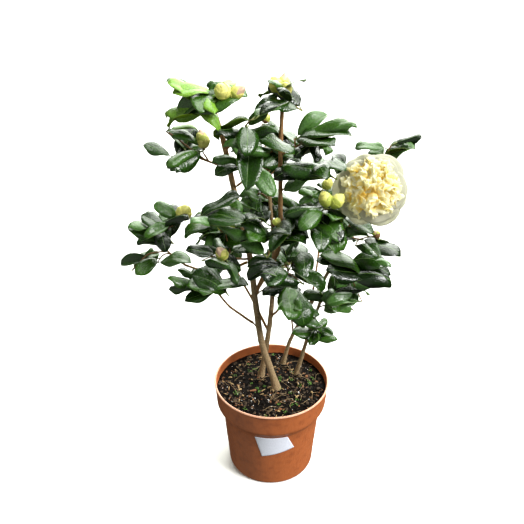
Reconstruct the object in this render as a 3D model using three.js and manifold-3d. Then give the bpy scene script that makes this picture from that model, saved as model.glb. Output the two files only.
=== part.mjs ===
// A young camellia shrub in a round nursery pot: pot, label, root ball, four stems,
// their boughs, the masses of foliage and one open bloom.
// Millimetres, +Z up. The origin is the centre of the pot's flat underside.

import * as THREE from 'three';
import { mergeVertices } from 'three/addons/utils/BufferGeometryUtils.js';
import Module from 'manifold-3d';

const wasm = await Module();
wasm.setup();

// Pot
const POT_HEIGHT = 168;
const RIM_RADIUS = 95;
const RIM_BAND = 38;
const RIM_TAPER = 3.4;
const SHOULDER_DROP = 16;
const SHOULDER_RADIUS = 81.7;
const BASE_RADIUS = 73;
const BASE_BEVEL = 5;
const POT_WALL = 1.8;
const POT_FLOOR = 3;
const POT_SIDES = 32;
const DRAIN_RADIUS = 6;
const DRAIN_RING = 46;
const DRAIN_COUNT = 6;
const DRAIN_SIDES = 8;

// Label on the pot's front
const LABEL_WIDTH = 42;
const LABEL_HEIGHT = 34;
const LABEL_THICKNESS = 0.6;
const LABEL_MIDDLE = 93;
const LABEL_TURN = 0.1;

// Root ball
const SOIL_TOP = 150;
const SOIL_DEPTH = 6;
const BALL_SIDES = 24;
const GAP = 0.3;

// Crown
const STEM_SIDES = 8;
const BOUGH_SIDES = 5;
const FLARE_HEIGHT = 26;
const SOCKET_GAP = 0.35;
const MASS_GAP = 0.5;
const SPUR_SPREAD = 0.42;
const UNEVENNESS = 0.07;

// Bloom
const BLOOM_RADIUS = 50;
const BLOOM_SIDES = 16;
const BLOOM_DOME = 19;
const BLOOM_CUP = 15;
const BLOOM_CENTRE = [129, -46, 524];
const BLOOM_FACES = [-0.1, -0.86, 0.5];

const vec = ([x, y, z]) => new THREE.Vector3(x, y, z);

const camellia = new THREE.Group();
camellia.name = 'camellia_in_pot';

function finish(color, roughness) {
  return new THREE.MeshStandardMaterial({ color, roughness, metalness: 0 });
}

const terracotta = finish(0xa9603c, 0.55);
const paper = finish(0xf4f4f0, 0.5);
const compost = finish(0x33261c, 0.95);
const bark = finish(0x7a6046, 0.85);
const greenWood = finish(0x6f5136, 0.75);
const foliage = finish(0x2e4a22, 0.4);
const youngFoliage = finish(0x5d7d24, 0.4);
const petals = finish(0xf3e7b0, 0.5);

// ---- solids -------------------------------------------------------------

function bareCopy(geometry) {
  const bare = geometry.clone();
  bare.deleteAttribute('normal');
  bare.deleteAttribute('uv');
  return bare;
}

function toSolid(geometry) {
  const merged = mergeVertices(bareCopy(geometry), 1e-4);
  return new wasm.Manifold(new wasm.Mesh({
    numProp: 3,
    vertProperties: new Float32Array(merged.attributes.position.array),
    triVerts: new Uint32Array(merged.index.array),
  }));
}

function toGeometry(solid) {
  const { vertProperties, triVerts } = solid.getMesh();
  const geometry = new THREE.BufferGeometry();
  geometry.setAttribute('position', new THREE.BufferAttribute(vertProperties, 3));
  geometry.setIndex(new THREE.BufferAttribute(triVerts, 1));
  geometry.computeVertexNormals();
  return geometry;
}

// A cut can split off slivers, so only the largest body stays.
function largestBody(solid) {
  return solid.decompose().sort((a, b) => b.volume() - a.volume())[0];
}

function addNode(name, solid, material) {
  const mesh = new THREE.Mesh(toGeometry(solid), material);
  mesh.name = name;
  camellia.add(mesh);
}

function lathe(profile, sides) {
  const outline = profile.map(([radius, height]) => new THREE.Vector2(radius, height));
  const geometry = new THREE.LatheGeometry(outline, sides);
  geometry.rotateX(Math.PI / 2);
  return geometry;
}

// ---- pot, label and root ball ------------------------------------------------

const rimFoot = POT_HEIGHT - RIM_BAND;
const shoulder = rimFoot - SHOULDER_DROP;

// Outer radius of the pot's body at a height below its shoulder.
function bodyRadius(height) {
  const share = (height - BASE_BEVEL) / (shoulder - BASE_BEVEL);
  return BASE_RADIUS + (SHOULDER_RADIUS - BASE_RADIUS) * Math.max(share, 0);
}

function buildPot() {
  const wall = lathe([
    [0, 0],
    [BASE_RADIUS - BASE_BEVEL, 0],
    [BASE_RADIUS - BASE_BEVEL * 0.3, BASE_BEVEL * 0.3],
    [BASE_RADIUS, BASE_BEVEL],
    [SHOULDER_RADIUS, shoulder],
    [RIM_RADIUS - RIM_TAPER, rimFoot],
    [RIM_RADIUS - 1, POT_HEIGHT - 4],
    [RIM_RADIUS, POT_HEIGHT - 3],
    [RIM_RADIUS, POT_HEIGHT],
    [RIM_RADIUS - POT_WALL, POT_HEIGHT],
    [RIM_RADIUS - RIM_TAPER - POT_WALL, rimFoot + 1],
    [SHOULDER_RADIUS - POT_WALL, shoulder + 1],
    [BASE_RADIUS - POT_WALL, BASE_BEVEL],
    [BASE_RADIUS - BASE_BEVEL, POT_FLOOR],
    [0, POT_FLOOR],
  ], POT_SIDES);
  let pot = toSolid(wall);
  for (let hole = 0; hole < DRAIN_COUNT; hole += 1) {
    const turn = (hole / DRAIN_COUNT) * Math.PI * 2;
    const drill = new THREE.CylinderGeometry(DRAIN_RADIUS, DRAIN_RADIUS, POT_FLOOR * 4, DRAIN_SIDES);
    drill.rotateX(Math.PI / 2);
    drill.translate(DRAIN_RING * Math.cos(turn), DRAIN_RING * Math.sin(turn), 0);
    pot = pot.subtract(toSolid(drill));
  }
  return pot;
}

// The root ball fills the pot up to the compost's level, clear of the wall's flat facets.
function buildRootBall() {
  const facetDepth = RIM_RADIUS * (1 - Math.cos(Math.PI / POT_SIDES));
  const slack = POT_WALL + GAP + facetDepth;
  const ball = lathe([
    [0, POT_FLOOR + GAP],
    [BASE_RADIUS - BASE_BEVEL - 2, POT_FLOOR + GAP],
    [BASE_RADIUS - slack - 1, BASE_BEVEL + 4],
    [SHOULDER_RADIUS - slack - 0.3, shoulder],
    [RIM_RADIUS - RIM_TAPER - slack, rimFoot + 2.5],
    [RIM_RADIUS - RIM_TAPER - slack + 1.1, SOIL_TOP],
    [0, SOIL_TOP],
  ], BALL_SIDES);
  return toSolid(ball);
}

// A thin sheet bent round the pot's body, with its lower side swung to the right.
function buildLabel() {
  const columns = 6;
  const rows = 2;
  const sheet = new THREE.BoxGeometry(LABEL_WIDTH, LABEL_THICKNESS, LABEL_HEIGHT, columns, 1, rows);
  sheet.rotateY(LABEL_TURN);
  const points = sheet.attributes.position;
  for (let i = 0; i < points.count; i += 1) {
    const height = LABEL_MIDDLE + points.getZ(i);
    const across = points.getX(i) / BASE_RADIUS;
    const radius = bodyRadius(height) + GAP * 1.2 - points.getY(i) + LABEL_THICKNESS / 2;
    points.setXYZ(i, radius * Math.sin(across), -radius * Math.cos(across), height);
  }
  return toSolid(sheet);
}

// ---- stems and boughs ----------------------------------------------------------

// A tapering limb along a smooth curve. A stem from the soil gets a root flare.
// A clearance copy is fatter by extra and as much longer at both ends.
function limbSolid({ route, radii, parent, flare = 0, steps = 3 }, extra = 0) {
  const sides = parent ? BOUGH_SIDES : STEM_SIDES;
  const curve = new THREE.CatmullRomCurve3(route.map(vec), false, 'centripetal');
  const frames = curve.computeFrenetFrames(steps, false);
  const geometry = new THREE.CylinderGeometry(1, 1, 1, sides, steps);
  const points = geometry.attributes.position;
  for (let i = 0; i < points.count; i += 1) {
    const ring = Math.round((0.5 - points.getY(i)) * steps);
    const share = ring / steps;
    const centre = curve.getPointAt(share);
    const risen = Math.max(0, 1 - (centre.z - SOIL_TOP) / FLARE_HEIGHT);
    const radius = radii[0] + (radii[1] - radii[0]) * share + flare * risen * risen + extra;
    const offset = frames.normals[ring].clone().multiplyScalar(points.getX(i) * radius);
    offset.addScaledVector(frames.binormals[ring], points.getZ(i) * radius);
    if (ring === 0) offset.addScaledVector(frames.tangents[ring], -extra);
    if (ring === steps) offset.addScaledVector(frames.tangents[ring], extra);
    centre.add(offset);
    points.setXYZ(i, centre.x, centre.y, centre.z);
  }
  return toSolid(geometry);
}

// Limbs in order: a stem from the soil has no parent, and a bough starts inside its parent.
const LIMBS = [
  {
    name: 'stem_main', radii: [5.8, 3.3], flare: 2.2, steps: 18,
    route: [[10, -7, SOIL_TOP - SOIL_DEPTH], [3, -8, 177], [-15, -12, 244], [-25, -18, 327],
      [-33, -26, 415], [-50, -36, 505], [-66, -45, 598], [-80, -50, 646]],
  },
  {
    name: 'stem_second', radii: [5, 2.2], flare: 1.5, steps: 12,
    route: [[-19, 24, SOIL_TOP - SOIL_DEPTH], [-8, 18, 225], [-1, 13, 300], [2, 28, 390],
      [-4, 55, 455], [-10, 72, 515]],
  },
  {
    name: 'stem_third', radii: [3.6, 2.1], flare: 1, steps: 14,
    route: [[18, 56, SOIL_TOP - SOIL_DEPTH], [33, 57, 210], [56, 46, 268], [90, 28, 366],
      [109, 8, 438], [119, -14, 488], [126, -33, 512]],
  },
  {
    name: 'stem_short', radii: [3.8, 2.4], flare: 1, steps: 8,
    route: [[40, 31, SOIL_TOP - SOIL_DEPTH], [50, 27, 190], [60, 20, 246], [76, 9, 318]],
  },
  {
    name: 'stem_centre', parent: 'stem_main', radii: [4, 2.7], steps: 12,
    route: [[-25, -19, 346], [-10, -20, 381], [9, -20, 424], [10, -18, 495], [9, -18, 560],
      [11, -18, 640]],
  },
  {
    name: 'bough_far_left', parent: 'stem_main', radii: [2.2, 1.6], steps: 9,
    route: [[-32, -25, 404], [-54, -22, 392], [-97, -20, 384], [-132, -20, 396], [-160, -24, 429]],
  },
  {
    name: 'bough_low_left', parent: 'stem_main', radii: [2.2, 1.6], steps: 7,
    route: [[-20, -15, 281], [-45, -17, 303], [-66, -26, 328], [-80, -43, 363]],
  },
  {
    name: 'bough_left_front', parent: 'stem_main', radii: [1.9, 1.5],
    route: [[-33, -26, 408], [-46, -42, 416], [-58, -58, 427]],
  },
  {
    name: 'bough_left', parent: 'stem_main', radii: [2, 1.6],
    route: [[-38, -29, 440], [-52, -44, 452], [-68, -60, 474]],
  },
  {
    name: 'bough_upper_middle', parent: 'stem_main', radii: [1.9, 1.5],
    route: [[-53, -38, 522], [-42, -46, 532], [-33, -54, 546]],
  },
  {
    name: 'bough_upper_left', parent: 'stem_main', radii: [1.9, 1.5],
    route: [[-58, -41, 548], [-76, -49, 560], [-100, -55, 571]],
  },
  {
    name: 'bough_top_middle', parent: 'stem_main', radii: [1.8, 1.4],
    route: [[-62, -43, 576], [-51, -52, 588], [-40, -60, 602]],
  },
  {
    name: 'bough_lower_front', parent: 'stem_centre', radii: [1.9, 1.5],
    route: [[-8, -20, 385], [2, -36, 390], [9, -52, 401]],
  },
  {
    name: 'bough_front', parent: 'stem_centre', radii: [2, 1.6],
    route: [[9, -20, 424], [6, -38, 436], [3, -57, 456]],
  },
  {
    name: 'bough_right', parent: 'stem_centre', radii: [2, 1.6],
    route: [[10, -18, 450], [28, -34, 463], [50, -52, 479]],
  },
  {
    name: 'bough_upper_right', parent: 'stem_centre', radii: [1.8, 1.4],
    route: [[10, -18, 510], [26, -21, 522], [43, -24, 533]],
  },
  {
    name: 'bough_high_right', parent: 'stem_centre', radii: [1.8, 1.4],
    route: [[9, -18, 560], [26, -21, 572], [43, -24, 581]],
  },
  {
    name: 'bough_back_left', parent: 'stem_second', radii: [2.4, 1.7], steps: 7,
    route: [[-6, 17, 250], [-28, 34, 292], [-54, 52, 335], [-70, 64, 374]],
  },
  {
    name: 'bough_lower_centre', parent: 'stem_second', radii: [2.2, 1.6],
    route: [[-1, 13, 282], [10, 0, 304], [22, -17, 330]],
  },
  {
    name: 'bough_back_right', parent: 'stem_third', radii: [2.2, 1.6],
    route: [[62, 43, 284], [70, 58, 336], [76, 74, 404]],
  },
  {
    name: 'bough_back_low', parent: 'stem_third', radii: [1.9, 1.5],
    route: [[36, 56, 220], [30, 66, 270], [25, 79, 334]],
  },
  {
    name: 'bough_lower_right', parent: 'stem_third', radii: [1.9, 1.5],
    route: [[88, 29, 360], [100, 20, 368], [110, 4, 380]],
  },
  {
    name: 'bough_under_bloom', parent: 'stem_third', radii: [1.8, 1.4],
    route: [[107, 12, 428], [117, -8, 433], [125, -26, 440]],
  },
  {
    name: 'bough_behind_bloom', parent: 'stem_third', radii: [1.8, 1.3],
    route: [[110, 7, 440], [132, 12, 482], [150, 13, 530]],
  },
];

// ---- masses of foliage ------------------------------------------------------------

// Each mass is an ellipsoid of leaves about its centre, with spurs out to its furthest tips.
const MASSES = [
  {
    name: 'foliage_top_left', centre: [-80, -56, 634], size: [30, 28, 22], young: true,
    spurs: [[-140, -60, 600], [-118, -60, 662], [-84, -52, 672], [-38, -64, 652]],
  },
  {
    name: 'foliage_top_middle', centre: [-30, -66, 612], size: [28, 24, 22],
    spurs: [[4, -60, 652], [-60, -62, 618], [18, -72, 574], [-36, -100, 596]],
  },
  {
    name: 'foliage_top_centre', centre: [14, -18, 636], size: [26, 26, 22], young: true,
    spurs: [[40, -8, 677], [-14, -24, 658], [38, -34, 620], [8, 18, 622]],
  },
  {
    name: 'foliage_upper_left', centre: [-112, -58, 574], size: [30, 24, 17],
    spurs: [[-146, -62, 590], [-154, -60, 546], [-96, -84, 560], [-116, -20, 582]],
  },
  {
    name: 'foliage_upper_middle', centre: [-26, -58, 556], size: [30, 32, 24],
    spurs: [[-62, -76, 562], [10, -70, 560], [-22, -98, 566], [-34, -16, 578]],
  },
  {
    name: 'foliage_upper_right', centre: [52, -26, 584], size: [32, 24, 13],
    spurs: [[98, -30, 592], [18, -24, 588], [58, -58, 580], [60, 10, 596]],
  },
  {
    name: 'foliage_right_shoulder', centre: [52, -26, 538], size: [32, 28, 18],
    spurs: [[94, -40, 544], [48, -66, 524], [64, 16, 536], [16, -34, 528]],
  },
  {
    name: 'foliage_far_left', centre: [-154, -26, 448], size: [26, 24, 28],
    spurs: [[-182, -26, 470], [-198, -32, 434], [-120, -30, 492], [-140, 12, 452]],
  },
  {
    name: 'foliage_left_tip', centre: [-160, -26, 396], size: [34, 24, 14],
    spurs: [[-219, -26, 369], [-146, -52, 388], [-112, -26, 404], [-156, 12, 394]],
  },
  {
    name: 'foliage_left', centre: [-74, -70, 484], size: [32, 28, 26],
    spurs: [[-104, -86, 506], [-108, -78, 458], [-34, -74, 512], [-70, -108, 466]],
  },
  {
    name: 'foliage_left_front', centre: [-64, -66, 430], size: [32, 26, 15],
    spurs: [[-106, -80, 440], [-30, -84, 446], [-64, -104, 424], [-52, -36, 430]],
  },
  {
    name: 'foliage_lower_left', centre: [-84, -56, 376], size: [34, 28, 22],
    spurs: [[-132, -60, 392], [-98, -80, 366], [-70, -74, 342], [-52, -70, 404]],
  },
  {
    name: 'foliage_centre', centre: [2, -66, 470], size: [34, 30, 30],
    spurs: [[-26, -84, 508], [30, -88, 492], [0, -106, 452], [-26, -86, 452]],
  },
  {
    name: 'foliage_front', centre: [14, -62, 410], size: [36, 28, 24],
    spurs: [[54, -62, 384], [-20, -66, 396], [38, -78, 440], [8, -100, 420]],
  },
  {
    name: 'foliage_right', centre: [60, -62, 484], size: [30, 28, 30],
    spurs: [[34, -78, 510], [94, -62, 500], [58, -92, 452], [90, -40, 452]],
  },
  {
    name: 'foliage_under_bloom', centre: [130, -34, 444], size: [30, 22, 16],
    spurs: [[186, -20, 418], [150, -52, 430], [100, -32, 470], [104, -60, 428]],
  },
  {
    name: 'foliage_behind_bloom', centre: [150, 14, 540], size: [22, 16, 26],
    spurs: [[184, 6, 574], [116, 8, 564], [172, 20, 520], [150, 44, 546]],
  },
  {
    name: 'foliage_lower_right', centre: [112, -8, 388], size: [34, 26, 15],
    spurs: [[164, -14, 362], [150, -34, 392], [112, 30, 380], [84, -40, 398]],
  },
  {
    name: 'foliage_low_right', centre: [98, 2, 326], size: [32, 24, 18],
    spurs: [[144, 4, 338], [148, 10, 292], [62, -14, 330], [96, 36, 322]],
  },
  {
    name: 'foliage_lower_centre', centre: [24, -26, 338], size: [32, 28, 22],
    spurs: [[-16, -42, 350], [16, -34, 298], [54, -34, 312], [22, -66, 340]],
  },
  {
    name: 'foliage_lowest', centre: [66, 6, 258], size: [20, 20, 20],
    spurs: [[88, 20, 214], [44, -10, 240], [76, -8, 276], [72, 34, 250]],
  },
  {
    name: 'foliage_back_left', centre: [-76, 72, 396], size: [34, 34, 34],
    spurs: [[-116, 84, 410], [-70, 122, 386], [-60, 60, 446], [-96, 40, 370]],
  },
  {
    name: 'foliage_back_centre', centre: [-10, 84, 532], size: [42, 34, 32],
    spurs: [[-56, 98, 548], [38, 90, 552], [-8, 134, 522], [-14, 70, 584], [30, 56, 500]],
  },
  {
    name: 'foliage_back_middle', centre: [-8, 76, 440], size: [34, 30, 26],
    spurs: [[-42, 96, 462], [26, 104, 446], [-10, 122, 430], [-6, 40, 452]],
  },
  {
    name: 'foliage_back_right', centre: [78, 82, 426], size: [34, 32, 36],
    spurs: [[122, 92, 438], [78, 130, 418], [66, 74, 482], [104, 60, 396]],
  },
  {
    name: 'foliage_back_low', centre: [24, 84, 344], size: [32, 26, 22],
    spurs: [[-16, 92, 352], [62, 96, 336], [24, 122, 334]],
  },
];

// How far the mass reaches from its centre in one direction.
function reach({ centre, size, spurs }, towards, seed) {
  const [a, b, c] = size;
  const body = 1 / Math.hypot(towards.x / a, towards.y / b, towards.z / c);
  let radius = body;
  for (const spur of spurs) {
    const arm = vec(spur).sub(vec(centre));
    const turn = towards.angleTo(arm) / SPUR_SPREAD;
    radius += Math.max(arm.length() - body, 0) * Math.exp(-turn * turn);
  }
  const ripple = Math.sin(5 * towards.x + seed) * Math.sin(6 * towards.y + 2 * seed)
    + Math.sin(7 * towards.z + 3 * seed) * Math.cos(4 * towards.x - seed);
  return radius * (1 + UNEVENNESS * ripple * (radius > body * 1.2 ? 0 : 1));
}

const evenBall = mergeVertices(bareCopy(new THREE.IcosahedronGeometry(1, 2)), 1e-4);

// The point of the ball that lies nearest to a spur is drawn out to that spur's very tip.
function nearestPoint(points, arm) {
  const towards = new THREE.Vector3();
  let nearest = 0;
  let least = Infinity;
  for (let i = 0; i < points.count; i += 1) {
    const turn = towards.fromBufferAttribute(points, i).angleTo(arm);
    if (turn < least) {
      least = turn;
      nearest = i;
    }
  }
  return nearest;
}

function massSolid(mass, seed, extra = 0) {
  const geometry = evenBall.clone();
  const ball = evenBall.attributes.position;
  const points = geometry.attributes.position;
  const centre = vec(mass.centre);
  const towards = new THREE.Vector3();
  for (let i = 0; i < points.count; i += 1) {
    towards.fromBufferAttribute(ball, i).normalize();
    const radius = reach(mass, towards, seed) + extra;
    towards.multiplyScalar(radius).add(centre);
    points.setXYZ(i, towards.x, towards.y, towards.z);
  }
  for (const spur of mass.spurs) {
    const arm = vec(spur).sub(centre);
    const tip = arm.clone().setLength(arm.length() + extra).add(centre);
    points.setXYZ(nearestPoint(ball, arm), tip.x, tip.y, tip.z);
  }
  return toSolid(geometry);
}

// ---- bloom -------------------------------------------------------------------------------

// Open guard petals as a shallow cup, with the domed heart in front of it.
function buildBloom(extra = 0) {
  const profile = [
    [0, -BLOOM_CUP - extra],
    [BLOOM_RADIUS * 0.34 + extra, -BLOOM_CUP * 0.86 - extra],
    [BLOOM_RADIUS * 0.8 + extra, -BLOOM_CUP * 0.45 - extra],
    [BLOOM_RADIUS + extra, -extra],
    [BLOOM_RADIUS + extra, 4 + extra],
    [BLOOM_RADIUS * 0.74 + extra, 5 + extra],
    [BLOOM_RADIUS * 0.6, BLOOM_DOME * 0.7 + extra],
    [BLOOM_RADIUS * 0.34, BLOOM_DOME * 0.95 + extra],
    [0, BLOOM_DOME + extra],
  ];
  const geometry = lathe(profile, BLOOM_SIDES);
  const facing = new THREE.Quaternion();
  facing.setFromUnitVectors(new THREE.Vector3(0, 0, 1), vec(BLOOM_FACES).normalize());
  geometry.applyQuaternion(facing);
  geometry.translate(...BLOOM_CENTRE);
  return toSolid(geometry);
}

// ---- assembly -------------------------------------------------------------------------------

const rootBall = buildRootBall();
addNode('pot', buildPot(), terracotta);
addNode('pot_label', buildLabel(), paper);

// Every stem and bough, and a slightly fatter copy that clears its neighbours.
const limbs = new Map();
for (const limb of LIMBS) {
  let solid = limbSolid(limb);
  for (const other of limbs.values()) {
    solid = solid.subtract(other.clearance);
  }
  limbs.set(limb.name, { solid: largestBody(solid), clearance: limbSolid(limb, SOCKET_GAP) });
}

const bloom = buildBloom();
const bloomClearance = buildBloom(SOCKET_GAP);

let ball = rootBall;
for (const limb of LIMBS) {
  const { solid, clearance } = limbs.get(limb.name);
  if (!limb.parent) ball = ball.subtract(clearance);
  addNode(limb.name, limb.name === 'stem_third' ? largestBody(solid.subtract(bloomClearance)) : solid,
    limb.parent ? greenWood : bark);
}
addNode('root_ball', ball, compost);
addNode('bloom_open', bloom, petals);

const placed = [];
MASSES.forEach((mass, seed) => {
  let solid = massSolid(mass, seed + 1);
  for (const { clearance } of limbs.values()) solid = solid.subtract(clearance);
  for (const clearance of placed) solid = solid.subtract(clearance);
  solid = solid.subtract(bloomClearance);
  placed.push(massSolid(mass, seed + 1, MASS_GAP));
  addNode(mass.name, largestBody(solid), mass.young ? youngFoliage : foliage);
});

export default camellia;
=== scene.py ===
"""Potted camellia shrub: the finished look of the pot, compost, bark, leaves, buds and bloom.

Lengths are millimetres while a piece is modelled, and metres once it is a piece.
"""

import math
import random
from typing import NamedTuple

import bmesh
import bpy
from bpy.props import FloatProperty, FloatVectorProperty, IntProperty
from mathutils.bvhtree import BVHTree
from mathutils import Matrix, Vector, noise


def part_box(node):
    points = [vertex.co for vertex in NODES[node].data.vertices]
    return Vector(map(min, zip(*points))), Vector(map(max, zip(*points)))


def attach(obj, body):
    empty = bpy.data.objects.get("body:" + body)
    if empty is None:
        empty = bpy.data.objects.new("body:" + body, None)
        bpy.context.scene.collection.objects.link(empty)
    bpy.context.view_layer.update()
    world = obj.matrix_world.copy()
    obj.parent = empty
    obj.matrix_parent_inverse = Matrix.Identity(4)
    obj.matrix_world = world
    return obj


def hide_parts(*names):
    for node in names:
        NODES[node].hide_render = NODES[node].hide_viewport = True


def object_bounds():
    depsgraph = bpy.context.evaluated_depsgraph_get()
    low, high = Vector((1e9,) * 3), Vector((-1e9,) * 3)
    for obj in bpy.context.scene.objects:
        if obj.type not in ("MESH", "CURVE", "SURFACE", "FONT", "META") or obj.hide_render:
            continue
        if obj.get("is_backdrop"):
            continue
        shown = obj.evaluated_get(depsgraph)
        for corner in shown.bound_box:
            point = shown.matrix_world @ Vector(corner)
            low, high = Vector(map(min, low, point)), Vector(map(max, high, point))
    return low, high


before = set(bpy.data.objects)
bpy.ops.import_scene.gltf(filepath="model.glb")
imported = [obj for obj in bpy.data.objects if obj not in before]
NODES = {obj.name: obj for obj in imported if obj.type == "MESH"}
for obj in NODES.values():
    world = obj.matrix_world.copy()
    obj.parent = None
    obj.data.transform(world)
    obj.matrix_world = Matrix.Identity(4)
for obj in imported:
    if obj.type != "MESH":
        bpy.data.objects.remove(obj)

bl_info = {
    "name": "Potted camellia shrub",
    "version": (1, 0, 0),
    "blender": (4, 5, 0),
    "location": "3D View > Sidebar > Camellia",
    "description": "Builds the finished pieces of a camellia shrub in its nursery pot",
    "category": "Add Mesh",
}

MM = 0.001
UP = Vector((0, 0, 1))
FRONT = Vector((0.3, -1, 0))
GOLDEN_TURN = math.radians(137.5)
COMPASS = ("N", "NNE", "NE", "ENE", "E", "ESE", "SE", "SSE",
           "S", "SSW", "SW", "WSW", "W", "WNW", "NW", "NNW")
GROUND_STEMS = ("stem_main", "stem_second", "stem_third", "stem_short")
STEMS = GROUND_STEMS + ("stem_centre",)
BOUGHS = tuple(sorted(name for name in NODES if name.startswith("bough_")))
CAD_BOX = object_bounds()

# The pot's outline, worked down and in from its rim, and the ring of drain holes in its floor.
BAND_DROP = 38
SHOULDER_DROP = 54
WAIST_INSET = 13.3
FOOT_INSET = 22
DRAIN_HOLES = 6
DRAIN_RADIUS = 6
DRAIN_RING = 46


# ---- small tools ----


def srgb(hex_colour):
    """A colour written as on a paint card, as linear red, green and blue."""
    parts = [int(hex_colour[i:i + 2], 16) / 255 for i in (0, 2, 4)]
    return tuple(p / 12.92 if p <= 0.04045 else ((p + 0.055) / 1.055) ** 2.4 for p in parts)


def colour(name, hex_colour, description):
    return FloatVectorProperty(name=name, description=description, subtype="COLOR", size=3,
                               min=0, max=1, default=srgb(hex_colour))


def length(name, millimetres, description):
    return FloatProperty(name=name, description=description, unit="LENGTH", min=0,
                         default=millimetres * MM)


def node_box(name):
    """A node's lowest and highest corners, in millimetres."""
    low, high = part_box(name)
    return low / MM, high / MM


def heading_vector(heading, slope):
    """The direction of a compass heading, N away from the front, rising at slope degrees."""
    turn = math.radians(COMPASS.index(heading) * 22.5)
    rise = math.radians(slope)
    return Vector((math.sin(turn) * math.cos(rise), math.cos(turn) * math.cos(rise), math.sin(rise)))


def smooth_route(points, spacing):
    """Points about a spacing apart on a smooth curve through the given ones."""
    points = [Vector(p) for p in points]
    ends = [2 * points[0] - points[1]] + points + [2 * points[-1] - points[-2]]
    route = []
    for a, b, c, d in zip(ends, ends[1:], ends[2:], ends[3:]):
        steps = max(1, round((c - b).length / spacing))
        for i in range(steps):
            t = i / steps
            route.append(0.5 * (2 * b + (c - a) * t + (2 * a - 5 * b + 4 * c - d) * t * t
                                + (3 * b - a - 3 * c + d) * t ** 3))
    return route + [points[-1]]


def sheet(bm, columns, rows, place, paint=None, uv=None):
    """A sheet of columns by rows faces whose corners lie at place(across, along), both 0 to 1."""
    grid = bmesh.ops.create_grid(bm, x_segments=columns, y_segments=rows, size=0.5)["verts"]
    spot = {v: (i % (columns + 1), i // (columns + 1)) for i, v in enumerate(grid)}
    for v, (column, row) in spot.items():
        v.co = place(column / columns, row / rows)
    done = set()
    for v in grid:
        for face in v.link_faces:
            if face in done:
                continue
            done.add(face)
            face.smooth = True
            if paint:
                face.material_index = paint(min(spot[c][0] for c in face.verts),
                                            min(spot[c][1] for c in face.verts))
            if uv:
                for loop in face.loops:
                    column, row = spot[loop.vert]
                    loop[uv].uv = (column / columns, row / rows)
    return grid


def tube(bm, route, radius, sides, material=0):
    """A closed tube along a route. radius(share, turn) is its radius at a share of its length."""
    tangents = [(b - a).normalized() for a, b in zip(route[:1] + route[:-1], route[1:] + route[-1:])]
    across = tangents[0].orthogonal().normalized()
    frames = []
    for tangent in tangents:
        across = (across - tangent * across.dot(tangent)).normalized()
        frames.append((across, tangent.cross(across)))
    last = len(route) - 1

    def place(around, along):
        row = round(along * (last + 2)) - 1
        i = min(max(row, 0), last)
        if row != i:
            return route[i]
        turn = around * math.tau
        first, second = frames[i]
        return route[i] + (first * math.cos(turn) + second * math.sin(turn)) * radius(i / last, turn)

    verts = sheet(bm, sides, last + 2, place, lambda column, row: material)
    bmesh.ops.remove_doubles(bm, verts=verts, dist=1e-4)


def add_piece(bm, name, materials, slot, replaced=()):
    """Turns a mesh in millimetres into a piece that rides on the plant and stands for CAD nodes."""
    bmesh.ops.scale(bm, vec=(MM, MM, MM), verts=bm.verts)
    mesh = bpy.data.meshes.new(name)
    bm.to_mesh(mesh)
    bm.free()
    for material in materials:
        mesh.materials.append(material)
    piece = bpy.data.objects.new(name, mesh)
    bpy.context.scene.collection.objects.link(piece)
    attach(piece, "root")
    if replaced:
        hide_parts(*replaced)
    return piece


def thicken(piece, thickness, offset=0):
    """Gives a piece made of sheets its thickness in metres, on both sides or, at -1, inwards."""
    wall = piece.modifiers.new("thickness", "SOLIDIFY")
    wall.thickness, wall.offset = thickness, offset
    return wall


# ---- finishes ----


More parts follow.
